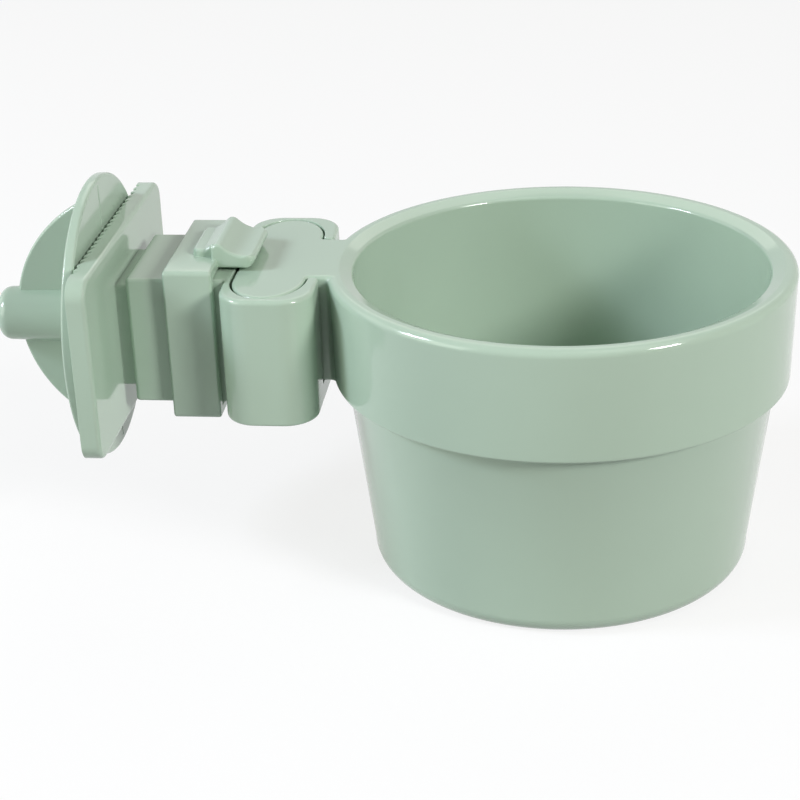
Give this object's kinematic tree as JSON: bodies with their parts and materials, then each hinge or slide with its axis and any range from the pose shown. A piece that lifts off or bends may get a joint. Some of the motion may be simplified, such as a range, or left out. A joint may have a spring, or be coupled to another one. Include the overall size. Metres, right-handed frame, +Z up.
{
  "type": "clamp-on pet food bowl",
  "caption": "Stepped round food bowl whose tongue drops into a bracket socket under a sliding lock, with a toothed plate and wing nut that clamp the bracket to cage wires.",
  "frame": {"origin": "on the clamp bolt's axis, in the plane of the clamp plate's tooth tips, where the cage wires lie", "axes": "+X from the cage wall towards the bowl along the bolt, +Y across, +Z up"},
  "size_m": [0.1754, 0.1006, 0.0863],
  "materials": {
    "green_plastic": "glossy injection-moulded sage green plastic",
    "bolt_steel": "zinc-plated steel",
    "insert_brass": "turned brass"
  },
  "bodies": {
    "bracket": {"receiver": "green_plastic", "clamp_plate": "green_plastic", "clamp_bolt": "bolt_steel", "bowl": "green_plastic"},
    "lock": {"lock_collar": "green_plastic"},
    "nut_thread": {"thread_insert": "insert_brass"},
    "nut": {"wing_nut": "green_plastic"}
  },
  "joints": [
    {"name": "lock_slide", "type": "slide", "parent": "bracket", "child": "lock", "axis": [-1, 0, 0], "range_m": [-0.002, 0.0115]},
    {"name": "nut_feed", "type": "slide", "parent": "bracket", "child": "nut_thread", "axis": [-1, 0, 0], "range_m": [0, 0.014]},
    {"name": "nut_turn", "type": "hinge", "parent": "nut_thread", "child": "nut", "pos_m": [0, 0, 0], "axis": [-1, 0, 0], "range_deg": [0, 5040]}
  ],
  "couplings": [
    {"joint": "nut_feed", "follows": "nut_turn", "m_per_rad": 0.00015915}
  ]
}
